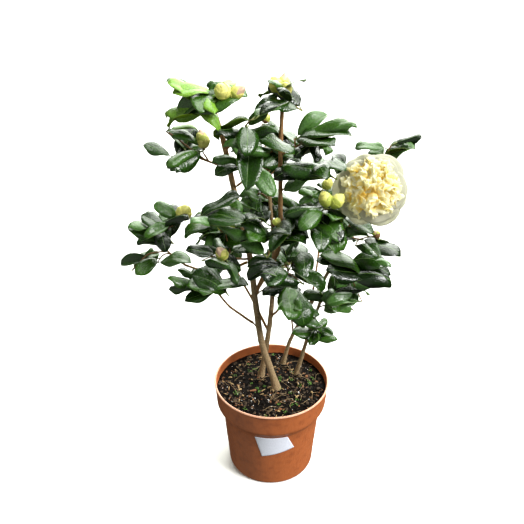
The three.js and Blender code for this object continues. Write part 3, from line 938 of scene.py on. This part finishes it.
class CAMELLIA_OT_compost(bpy.types.Operator):
    """Fills the pot with crumbly compost, bark chips, grit, fine roots and moss"""
    bl_idname = "camellia.compost"
    bl_label = "Compost"

    def execute(self, context):
        looks = context.scene.camellia_compost
        self.rng = random.Random(7)
        self.level, self.radius = node_box("root_ball")[1].z, node_box("pot")[1].x - 4.2
        self.bed(looks)
        self.bits(looks)
        self.roots(looks)
        self.moss(looks)
        return {"FINISHED"}

    def surface_height(self, x, y):
        """The compost's height at a place: lumpy, and lower towards the pot's wall."""
        spot = Vector((x, y, 0))
        lumps = 2.2 * noise.noise(spot / 21) + 1.1 * noise.noise(spot / 7) + 0.6 * noise.noise(spot / 3)
        edge = max(0, math.hypot(x, y) / self.radius - 0.8) * 9
        return self.level + 3 + lumps - edge * 0.6

    def bed(self, looks):
        """The body of the compost: a lumpy top, and a side that follows the pot's inner wall."""
        bm = bmesh.new()
        rings, spokes = 65, 120
        pot_high = node_box("pot")[1]
        slack = 2.6
        waist, foot = pot_high.x - WAIST_INSET - slack, pot_high.x - FOOT_INSET - slack
        shoulder = pot_high.z - SHOULDER_DROP
        wall = [(self.radius - 0.3, self.level - 6), (self.radius - 0.8, shoulder + 18),
                (waist + 1, shoulder + 3)]
        wall += [(waist - 0.2 + (foot - waist) * k / 7, shoulder - 4 - (shoulder - 14) * k / 7)
                 for k in range(8)]
        wall += [(foot - 4, 4), (0, 4)]

        def place(around, along):
            share = along * 1.25
            turn = -around * math.tau
            if share <= 1:
                x, y = self.radius * share * math.cos(turn), self.radius * share * math.sin(turn)
                rough = 0.7 * noise.noise(Vector((x, y, 0)) / 1.7)
                return Vector((x, y, self.surface_height(x, y) + rough))
            radius, height = wall[round(along * rings) - round(0.8 * rings) - 1]
            return Vector((radius * math.cos(turn), radius * math.sin(turn), height))

        verts = sheet(bm, spokes, rings, place)
        bmesh.ops.remove_doubles(bm, verts=verts, dist=1e-3)
        bmesh.ops.recalc_face_normals(bm, faces=bm.faces)
        earth = Finish("damp_compost", 0.85, Specular_IOR_Level=0.06)
        earth.tones(earth.grain(4, detail=6, roughness=0.7), (0.4, scaled(looks.dark, 0.5)),
                    (0.6, looks.dark), (0.78, looks.light))
        earth.relief(earth.grain(1.6, detail=6, roughness=0.7), 1.2)
        add_piece(bm, "compost_bed", [earth.material], "compost", ["root_ball"])

    def scatter(self, count, reach):
        """Places strewn evenly over the compost, up to a share of its radius."""
        for i in range(count):
            radius = self.radius * reach * math.sqrt(self.rng.random())
            turn = self.rng.uniform(0, math.tau)
            yield radius * math.cos(turn), radius * math.sin(turn)

    def lump(self, bm, x, y, size, squash, material):
        """A crumb or chip: a low polyhedron pulled out of shape and half sunk."""
        rng = self.rng
        made = bmesh.ops.create_icosphere(bm, subdivisions=1, radius=1)["verts"]
        stretch = Vector((rng.uniform(0.6, 1.5), rng.uniform(0.5, 1), squash * rng.uniform(0.6, 1.2))) * size
        turn, tilt = rng.uniform(0, math.tau), rng.uniform(-0.5, 0.5)
        height = self.surface_height(x, y) + size * squash * rng.uniform(-0.2, 0.5)
        for v in made:
            p = Vector(v.co) * (1 + rng.uniform(-0.3, 0.3))
            p = Vector((p.x * stretch.x, p.y * stretch.y, p.z * stretch.z))
            p = Vector((p.x * math.cos(tilt) - p.z * math.sin(tilt), p.y,
                        p.x * math.sin(tilt) + p.z * math.cos(tilt)))
            v.co = Vector((x + p.x * math.cos(turn) - p.y * math.sin(turn),
                           y + p.x * math.sin(turn) + p.y * math.cos(turn), height + p.z))
        for face in {f for v in made for f in v.link_faces}:
            face.material_index = material

    def bits(self, looks):
        """Loose crumbs and bark chips, white grains and slivers of wood."""
        rng = self.rng
        crumbs = bmesh.new()
        for i, (x, y) in enumerate(self.scatter(looks.crumbs, 0.96)):
            size = rng.uniform(1.2, 2.6) * (1.5 if i % 9 == 0 else 1)
            self.lump(crumbs, x, y, size, 0.55, CHIP if i % 11 == 0 else CRUMB if i % 3 else DRY_CRUMB)
        for x, y in self.scatter(looks.grains, 0.95):
            self.lump(crumbs, x, y, rng.uniform(0.5, 1.3), 0.8, GRIT)
        for x, y in self.scatter(looks.slivers, 0.9):
            long, turn = rng.uniform(3, 9), rng.uniform(0, math.tau)
            half = Vector((math.cos(turn), math.sin(turn), rng.uniform(-0.15, 0.3))) * long / 2
            centre = Vector((x, y, self.surface_height(x, y) + 1.2))
            thick = rng.uniform(0.5, 1.5)
            tube(crumbs, [centre - half, centre + Vector((0, 0, 0.5)), centre + half],
                 lambda share, angle: thick * (0.35 + 0.65 * abs(math.cos(angle))), 6, SLIVER)
        tones = (looks.dark, looks.light, looks.chip, looks.straw, looks.grit)
        finishes = []
        for name, tone in zip(("crumb", "dry_crumb", "bark_chip", "sliver", "grit"), tones):
            finish = Finish(f"compost_{name}", 0.7, Specular_IOR_Level=0.1)
            finish.mottle(2.2, scaled(tone, 0.55), scaled(tone, 1.15), end=0.65, detail=4)
            finish.relief(finish.grain(0.8, detail=3), 0.3)
            finishes.append(finish.material)
        add_piece(crumbs, "compost_bits", finishes, "compost")

    def roots(self, looks):
        """Fine roots that arch over the crumbs."""
        rng = self.rng
        fibres = bmesh.new()
        for x, y in self.scatter(looks.fibres, 0.86):
            turn, long = rng.uniform(0, math.tau), rng.uniform(8, 26)
            route, x0, y0 = [], x, y
            for k in range(6):
                route.append(Vector((x0, y0, self.surface_height(x0, y0) + 1.6 + 1.6 * math.sin(k * 0.62))))
                turn += rng.uniform(-0.6, 0.6)
                x0, y0 = x0 + math.cos(turn) * long / 5, y0 + math.sin(turn) * long / 5
            tube(fibres, smooth_route(route, 1.6), lambda share, angle: 0.22, 5)
        root = Finish("fine_root", 0.7)
        root.mottle(3, scaled(looks.straw, 0.6), looks.straw)
        add_piece(fibres, "compost_roots", [root.material], "compost")

    def moss(self, looks):
        """Small tufts of moss, each of a few curved blades."""
        rng = self.rng
        moss = bmesh.new()
        for x, y in self.scatter(looks.tufts, 0.9):
            for k in range(BLADES_PER_TUFT):
                px, py = x + rng.gauss(0, 2), y + rng.gauss(0, 2)
                turn = rng.uniform(0, math.tau)
                out = Vector((math.cos(turn), math.sin(turn), 0))
                side = Vector((-out.y, out.x, 0)) * rng.uniform(0.4, 0.9)
                foot = Vector((px, py, self.surface_height(px, py) + 0.6))
                tall, far = rng.uniform(1, 2.6), rng.uniform(1, 2.6)

                def place(across, along):
                    width = math.sin(math.pi * min(along, 0.97)) * (across - 0.5) * 2
                    return foot + out * far * along + UP * tall * math.sin(along * 2) + side * width

                sheet(moss, 2, 3, place)
        green = Finish("moss", 0.7)
        green.mottle(3, scaled(looks.moss, 0.45), looks.moss)
        thicken(add_piece(moss, "compost_moss", [green.material], "compost"), 0.2 * MM)


# ---- wood ----


class CAMELLIA_OT_wood(bpy.types.Operator):
    """Covers the stems and boughs in bark with ridges, leaf scars and swellings at their feet"""
    bl_idname = "camellia.wood"
    bl_label = "Stems and boughs"

    def execute(self, context):
        looks = context.scene.camellia_wood
        old = self.bark("old_bark", looks, 2.2, 0.4)
        red = self.bark("red_bark", looks, 2, 0)
        for number, (name, slices) in enumerate(LIMBS.items()):
            bm = bmesh.new()
            route = smooth_route([centre for centre, radius in slices], 2.6)
            tube(bm, route, bark_radius(slices, number * 3.7, looks.relief / MM),
                 14 if name in STEMS else 9)
            finish, slot = (old, "bark") if name in GROUND_STEMS else (red, "green_wood")
            add_piece(bm, f"{name}_bark", [finish], slot, [name])
        return {"FINISHED"}

    def bark(self, name, looks, size, turns):
        """Streaked bark, tan up to a height in metres and red-brown well above it."""
        finish = Finish(name, 0.75, Specular_IOR_Level=0.3)
        streaks = finish.grain(size, stretch=(1, 1, 0.16), detail=5, roughness=0.65)
        split = finish.node("SeparateXYZ")
        finish.link(finish.coordinates.outputs["Object"], split.inputs["Vector"])
        height = finish.spread(split.outputs["Z"], 0, 1, turns, turns + 0.22)
        mix = finish.node("Mix", data_type="RGBA")
        finish.link(height, mix.inputs["Factor"])
        for socket, light, dark in (("B", looks.red_bark, looks.red_dark),
                                    ("A", looks.bark, looks.bark_dark)):
            finish.tones(streaks, (0.36, scaled(dark, 0.7)), (0.5, mixed(dark, light, 0.7)),
                         (0.64, scaled(light, 1.4)))
            source = finish.shader.inputs["Base Color"].links[0].from_socket
            finish.link(source, [s for s in mix.inputs if s.name == socket and s.type == "RGBA"][0])
        finish.link([s for s in mix.outputs if s.type == "RGBA"][0], finish.shader.inputs["Base Color"])
        finish.relief(streaks, 0.7)
        finish.relief(finish.grain(0.8, detail=3), 0.2)
        return finish.material


# ---- foliage ----


class CAMELLIA_OT_foliage(bpy.types.Operator):
    """Grows the shoots from the limbs and sets their leaves, mass by mass"""
    bl_idname = "camellia.foliage"
    bl_label = "Shoots and leaves"

    def execute(self, context):
        looks, wood = context.scene.camellia_leaf, context.scene.camellia_wood
        self.stalk, self.twig = looks.stalk / MM, wood.twig / MM
        materials = leaf_materials(looks)
        twigs = bmesh.new()
        for number, mass in enumerate(MASSES):
            rng = random.Random(100 + number)
            bm = bmesh.new()
            uv = bm.loops.layers.uv.new("blade")
            for shoot in SHOOTS[mass]:
                self.grow(shoot, bm, uv, twigs, rng)
            slot = "young_leaves" if mass in YOUNG_MASSES else "leaves"
            blades = add_piece(bm, mass.replace("foliage", "leaves"), materials, slot, [mass])
            sides = thicken(blades, looks.thickness, -1)
            sides.material_offset, sides.material_offset_rim = len(LEAF_TONES) + 1, len(materials)
        woody = Finish("twig_bark", 0.7)
        woody.mottle(2, wood.red_dark, wood.red_bark, 0.35, 0.65, stretch=(1, 1, 0.3))
        woody.relief(woody.grain(1.2), 0.3)
        green = Finish("green_shoot", 0.5)
        green.mottle(4, scaled(wood.shoot, 0.7), wood.shoot)
        add_piece(twigs, "shoots_and_stalks", [woody.material, green.material], "green_wood")
        return {"FINISHED"}

    def grow(self, shoot, bm, uv, twigs, rng):
        tube(twigs, smooth_route(shoot_route(shoot), 3),
             lambda share, angle: self.twig * (1 - 0.3 * share), 7, 0)
        for leaf in shoot.leaves:
            joint = shoot.joints[leaf.joint]
            ahead = heading_vector(leaf.heading, leaf.slope + HABITS[leaf.habit].curl * 0.45)
            stalk = min(self.stalk, leaf.reach * 0.2)
            base = joint + ahead * stalk
            tube(twigs, [joint, joint.lerp(base, 0.5) - UP * 0.3, base + ahead * 1.5],
                 lambda share, angle: 0.95 - 0.25 * share, 6, 1)
            add_blade(bm, uv, base, leaf, rng)


# ---- buds ----


BUD_FINISHES = ("green", "yellow", "pink", "brown")

# The finishes of a bud's four whorls of scales, from the outermost inwards, and of its core.
BUD_WHORLS = {
    "green": ("brown", "green", "green", "yellow", "green"),
    "yellow": ("green", "green", "yellow", "yellow", "yellow"),
    "pink": ("yellow", "green", "yellow", "pink", "pink"),
    "cream": ("green", "yellow", "yellow", "yellow", "yellow"),
    "brown": ("brown", "brown", "green", "pink", "green"),
}
WHORL_COVERS = (0.34, 0.55, 0.76, 0.95)


class CAMELLIA_OT_buds(bpy.types.Operator):
    """Sets the scaly flower buds, each at the tip of its mass's highest shoot"""
    bl_idname = "camellia.buds"
    bl_label = "Buds"

    def execute(self, context):
        looks = context.scene.camellia_bud
        rng = random.Random(31)
        bm = bmesh.new()
        for mass in MASSES:
            for shoot in SHOOTS[mass]:
                for bud in shoot.buds:
                    self.bud(bm, shoot.joints[-1], bud, rng)
        finishes = []
        for name in BUD_FINISHES:
            tone = getattr(looks, name)
            finish = Finish(f"bud_{name}", 0.5, Specular_IOR_Level=0.4)
            finish.mottle(5, scaled(tone, 0.75), scaled(tone, 1.12))
            finish.relief(finish.grain(1.4, stretch=(1, 1, 0.5)), 0.15)
            finishes.append(finish.material)
        thicken(add_piece(bm, "buds", finishes, "young_leaves"), 0.4 * MM, -1)
        return {"FINISHED"}

    def bud(self, bm, joint, bud, rng):
        """A plump core with scales that overlap round it."""
        axis = heading_vector(bud.heading, bud.slope)
        first = axis.orthogonal().normalized()
        second = axis.cross(first)
        pointed = bud.tone == "pink"
        fat = bud.length * {"pink": 0.3, "cream": 0.4}.get(bud.tone, 0.35) * rng.uniform(0.96, 1.04)
        start = joint + axis * 1.5

        def skin(share, angle, lift):
            shape = math.sin(math.pi * min(share, 1) ** (0.72 if pointed else 0.9))
            radius = fat * max(shape, 0) ** (0.8 if pointed else 0.6) + lift
            return (start + axis * (share * bud.length) + (first * math.cos(angle)
                    + second * math.sin(angle)) * radius)

        tones = [BUD_FINISHES.index(name) for name in BUD_WHORLS[bud.tone]]
        core = sheet(bm, 14, 12, lambda across, along: skin(along, across * math.tau, 0),
                     lambda column, row: tones[4])
        bmesh.ops.remove_doubles(bm, verts=core, dist=1e-3)
        turn = rng.uniform(0, math.tau)
        for whorl, cover in enumerate(WHORL_COVERS):
            for scale in range(3):
                turn += math.tau / 3 + rng.uniform(-0.08, 0.08)
                middle = turn + whorl * 1.05

                def place(across, along):
                    side = across * 2 - 1
                    tip = 1 - 0.3 * abs(side) ** 2.2
                    angle = middle + side * (1.25 - 0.25 * along)
                    share = 0.02 + along * cover * tip * 0.98
                    lift = 0.25 + 0.22 * (3 - whorl) + 0.5 * along ** 4 * (whorl < 3) - 0.3 * abs(side)
                    return skin(share, angle, lift)

                sheet(bm, 8, 7, place, lambda column, row: tones[whorl])


# ---- bloom ----


BLOOM_FACING = Vector((-0.1, -0.86, 0.5))


class CAMELLIA_OT_bloom(bpy.types.Operator):
    """Opens the bloom: broad guard petals round a dome of crumpled inner petals"""
    bl_idname = "camellia.bloom"
    bl_label = "Bloom"

    def execute(self, context):
        looks = context.scene.camellia_bloom
        self.rng = random.Random(12)
        low, high = node_box("bloom_open")
        self.facing = BLOOM_FACING.normalized()
        self.centre = (low + high) / 2 + self.facing * -2
        self.first = self.facing.cross(UP).normalized()
        self.second = self.first.cross(self.facing)
        self.radius = (high.x - low.x) / 2
        self.guards(looks)
        self.dome(looks)
        self.calyx(LIMBS["stem_third"][-1][0])
        return {"FINISHED"}

    def at(self, radius, turn, out):
        """A place at a radius and a turn about the bloom's axis, so far out along it."""
        return (self.centre + (self.first * math.cos(turn) + self.second * math.sin(turn)) * radius
                + self.facing * out)

    def guards(self, looks):
        """Two rings of broad petals, cupped at the foot and curled back at the edge."""
        rng = self.rng
        bm = bmesh.new()
        rows, columns = 14, 18
        for ring, (count, reach, depth) in enumerate(((6, 1.04, -5), (5, 0.95, 0.5))):
            for k in range(count):
                middle = (k + 0.5 * ring) / count * math.tau + rng.uniform(-0.14, 0.14)
                long = self.radius * reach * rng.uniform(0.93, 1.03)
                spread = math.tau / count * 0.78
                phase, lift, notch = rng.uniform(0, math.tau), rng.uniform(-3, 3), rng.uniform(0, 0.07)

                def place(across, along):
                    side = across * 2 - 1
                    narrow = math.sin(math.pi * min(0.12 + 0.55 * along, 0.6)) ** 0.8
                    edge = 1 - 0.26 * abs(side) ** 2.2 - notch * math.exp(-(side / 0.2) ** 2)
                    radius = 5 + (long * edge - 5) * along
                    turn = middle + side * spread * narrow
                    cup = 8 * math.sin(math.pi * min(along * 0.7, 1)) - 5 * along ** 3
                    ripple = 1.9 * math.sin(4 * side + phase) + 1.1 * math.sin(9 * side + 2 * phase)
                    ripple *= along ** 2
                    lap = 2.8 * side * along
                    return self.at(radius, turn, depth + cup + ripple + lap + lift * along)

                sheet(bm, columns, rows, place)
        finish = Finish("guard_petal", 0.6, Specular_IOR_Level=0.3)
        finish.mottle(14, scaled(looks.guard, 0.9), looks.guard)
        finish.relief(finish.grain(4), 0.25)
        finish.thin(looks.guard, 0.55)
        petals = add_piece(bm, "bloom_guard_petals", [finish.material], "petals", ["bloom_open"])
        thicken(petals, 0.5 * MM)

    def dome(self, looks):
        """A rounded heart, hidden under crumpled petals that lie outwards over one another."""
        rng = self.rng
        bm = bmesh.new()
        wide, deep = self.radius * 0.71, self.radius * 0.3

        def heart(around, along):
            polar = along * math.pi / 2
            return self.at(wide * 0.95 * math.sin(polar), -around * math.tau, 4 + deep * math.cos(polar))

        bmesh.ops.remove_doubles(bm, verts=sheet(bm, 32, 10, heart, lambda column, row: 0), dist=1e-3)
        for k in range(looks.inner):
            share = (k + 0.5) / looks.inner
            polar = math.acos(1 - share)
            turn = k * GOLDEN_TURN
            radial = self.first * math.cos(turn) + self.second * math.sin(turn)
            normal = (radial * math.sin(polar) + self.facing * math.cos(polar)).normalized()
            slide = radial * math.cos(polar) - self.facing * math.sin(polar)
            foot = (self.centre + radial * wide * 0.86 * math.sin(polar)
                    + self.facing * (3 + (deep + 1) * math.cos(polar)))
            veer = rng.uniform(-1, 1) * (0.5 + 2 * (1 - share))
            slide = slide * math.cos(veer) + normal.cross(slide) * math.sin(veer)
            lean = math.radians(rng.uniform(35, 78))
            axis = normal * math.cos(lean) + slide * math.sin(lean)
            side = axis.cross(normal).normalized()
            outward = side.cross(axis)
            tall, broad = rng.uniform(10, 15), rng.uniform(15, 22)
            phase, bow = rng.uniform(0, math.tau), rng.uniform(-4, 6)
            crimp = rng.uniform(1.2, 2.4)

            def place(across, along):
                s = across * 2 - 1
                width = broad / 2 * (0.5 + 0.5 * along ** 0.7) * (1 - 0.15 * along ** 4)
                ruffle = crimp * (math.sin(3 * s + phase) + 0.35 * math.sin(7 * s + 1.7 * phase)) * along
                curve = bow * s * s + 3.2 * along * along * math.sin(phase * 2)
                height = tall * along * (1 - 0.2 * s * s) + 0.9 * math.sin(7 * s + phase) * along ** 3
                return foot + side * (s * width) + axis * height + outward * (curve + ruffle)

            deepness = 0 if polar < 1.1 or k % 3 else 1
            sheet(bm, 9, 6, place, lambda column, row: max((0, 0, 1, 1, 2, 2)[row], deepness))
        finishes = []
        for name, tone in (("gold", looks.gold), ("yellow", looks.yellow), ("cream", looks.cream)):
            finish = Finish(f"inner_petal_{name}", 0.6, Specular_IOR_Level=0.25)
            finish.mottle(5, scaled(tone, 0.92), tone)
            finish.relief(finish.grain(3), 0.2)
            finish.thin(tone, 0.4)
            finishes.append(finish.material)
        thicken(add_piece(bm, "bloom_inner_petals", finishes, "petals"), 0.4 * MM)

    def calyx(self, tip):
        """The green cup of scales behind the bloom, on its stem."""
        bm = bmesh.new()
        back = self.centre - self.facing * 9
        for k in range(7):
            middle = k * math.tau / 7

            def place(across, along):
                side = across * 2 - 1
                radius = 3 + 11 * along
                turn = middle + side * 0.62 * math.sin(math.pi * min(0.3 + 0.68 * along, 0.98))
                return self.at(radius, turn, -10.5 + 4.5 * along * along + (k % 2) * 0.7)

            sheet(bm, 6, 6, place)
        tube(bm, smooth_route([tip, tip.lerp(back, 0.55) + UP * 0.5, back + self.facing * 3], 2),
             lambda share, angle: 2 + 1.6 * share ** 3, 9)
        finish = Finish("calyx", 0.55)
        finish.mottle(4, srgb("7B8A3C"), srgb("B6BE6C"))
        thicken(add_piece(bm, "bloom_calyx", [finish.material], "young_leaves"), 0.5 * MM, -1)


# ---- stage ----


# The camera: its lens and sensor in millimetres, its place in metres, and its dip below the
# horizon and its turn to the left in degrees.
LENS = 42.53
SENSOR = 36
CAMERA_PLACE = (0, -0.80286, 0.83691)
CAMERA_DIP = 29.2
CAMERA_TURN = 1.12


class CAMELLIA_OT_stage(bpy.types.Operator):
    """Lays the pale floor and sets the soft lights and the camera"""
    bl_idname = "camellia.stage"
    bl_label = "Stage"

    def execute(self, context):
        looks = context.scene.camellia_stage
        bm = bmesh.new()
        bmesh.ops.create_grid(bm, x_segments=1, y_segments=1, size=15)
        mesh = bpy.data.meshes.new("floor")
        bm.to_mesh(mesh)
        bm.free()
        floor = bpy.data.objects.new("floor", mesh)
        paint = Finish("floor_paint", 0.9, Specular_IOR_Level=0.2)
        paint.shader.inputs["Base Color"].default_value = (*looks.floor, 1)
        mesh.materials.append(paint.material)
        context.scene.collection.objects.link(floor)
        floor.visible_glossy = floor.visible_diffuse = False
        floor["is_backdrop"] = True
        self.lights(context, looks)
        self.camera(context)
        return {"FINISHED"}

    def lights(self, context, looks):
        """A pale sky with three bright openings, and one broad soft light from the right.

        An opening is its direction, the closeness to it at which the light starts and is full,
        and its share of the sky's strength. The camera itself sees plain white.
        """
        world = bpy.data.worlds.new("soft sky")
        context.scene.world = world
        world.use_nodes = True
        nodes, link = world.node_tree.nodes, world.node_tree.links.new
        direction = nodes.new("ShaderNodeTexCoord")
        total = nodes.new("ShaderNodeMath")
        total.inputs[0].default_value, total.inputs[1].default_value = 0, looks.haze
        openings = (
            ((0.2, 0.8, 0.6), 0.7, 0.88, 1),
            ((0.4, -0.1, 0.85), 0.9, 0.97, 0.9),
            ((-0.7, -0.7, 0.1), 0.1, 1, 0.075),
        )
        for patch, start, end, share in openings:
            toward = nodes.new("ShaderNodeVectorMath")
            toward.operation = "DOT_PRODUCT"
            toward.inputs[1].default_value = Vector(patch).normalized()
            rise = nodes.new("ShaderNodeMapRange")
            rise.interpolation_type = "SMOOTHSTEP"
            for socket, number in (("From Min", start), ("From Max", end), ("To Max", looks.sky * share)):
                rise.inputs[socket].default_value = number
            link(direction.outputs["Generated"], toward.inputs[0])
            link(toward.outputs["Value"], rise.inputs["Value"])
            sum_so_far, total = total, nodes.new("ShaderNodeMath")
            link(sum_so_far.outputs["Value"], total.inputs[0])
            link(rise.outputs["Result"], total.inputs[1])
        background = nodes["Background"]
        background.inputs["Color"].default_value = (0.97, 1, 0.93, 1)
        link(total.outputs["Value"], background.inputs["Strength"])
        wall = nodes.new("ShaderNodeBackground")
        wall.inputs["Color"].default_value = (1, 1, 1, 1)
        pick = nodes.new("ShaderNodeMixShader")
        link(nodes.new("ShaderNodeLightPath").outputs["Is Camera Ray"], pick.inputs["Fac"])
        link(background.outputs["Background"], pick.inputs[1])
        link(wall.outputs["Background"], pick.inputs[2])
        link(pick.outputs["Shader"], nodes["World Output"].inputs["Surface"])
        light = bpy.data.lights.new("broad light", "SUN")
        light.energy, light.angle = looks.key, math.radians(20)
        lamp = bpy.data.objects.new("broad light", light)
        lamp.rotation_euler = Vector((-0.8, 0.4, -0.6)).to_track_quat("-Z", "Y").to_euler()
        context.scene.collection.objects.link(lamp)
        context.scene.view_settings.view_transform = "Standard"

    def camera(self, context):
        view = bpy.data.cameras.new("camera")
        view.lens, view.sensor_width = LENS, SENSOR
        camera = bpy.data.objects.new("camera", view)
        camera.location = CAMERA_PLACE
        camera.rotation_euler = (math.radians(90 - CAMERA_DIP), 0, math.radians(CAMERA_TURN))
        context.scene.collection.objects.link(camera)
        context.scene.camera = camera


# ---- add-on ----


OPERATORS = (
    CAMELLIA_OT_stage, CAMELLIA_OT_pot, CAMELLIA_OT_label, CAMELLIA_OT_compost, CAMELLIA_OT_wood,
    CAMELLIA_OT_foliage, CAMELLIA_OT_buds, CAMELLIA_OT_bloom,
)
GROUPS = {
    "camellia_pot": PotLooks, "camellia_compost": CompostLooks, "camellia_wood": WoodLooks,
    "camellia_leaf": LeafLooks, "camellia_bud": BudLooks, "camellia_bloom": BloomLooks,
    "camellia_stage": StageLooks,
}


class CAMELLIA_PT_panel(bpy.types.Panel):
    """Lists the shrub's pieces"""
    bl_idname = "CAMELLIA_PT_panel"
    bl_label = "Potted camellia"
    bl_space_type = "VIEW_3D"
    bl_region_type = "UI"
    bl_category = "Camellia"

    def draw(self, context):
        for operator in OPERATORS:
            self.layout.operator(operator.bl_idname)
        for name, group in GROUPS.items():
            box = self.layout.box()
            for prop in group.__annotations__:
                box.prop(getattr(context.scene, name), prop)


CLASSES = (*GROUPS.values(), *OPERATORS, CAMELLIA_PT_panel)


def register():
    for cls in CLASSES:
        bpy.utils.register_class(cls)
    for name, group in GROUPS.items():
        setattr(bpy.types.Scene, name, bpy.props.PointerProperty(type=group))


def unregister():
    for name in GROUPS:
        delattr(bpy.types.Scene, name)
    for cls in reversed(CLASSES):
        bpy.utils.unregister_class(cls)


def main():
    register()
    for operator in OPERATORS:
        module, name = operator.bl_idname.split(".")
        getattr(getattr(bpy.ops, module), name)()
    boxes = {"cad": CAD_BOX, "visual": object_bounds()}
    {name: [list(corner) for corner in box] for name, box in boxes.items()}


if __name__ == "__main__":
    main()
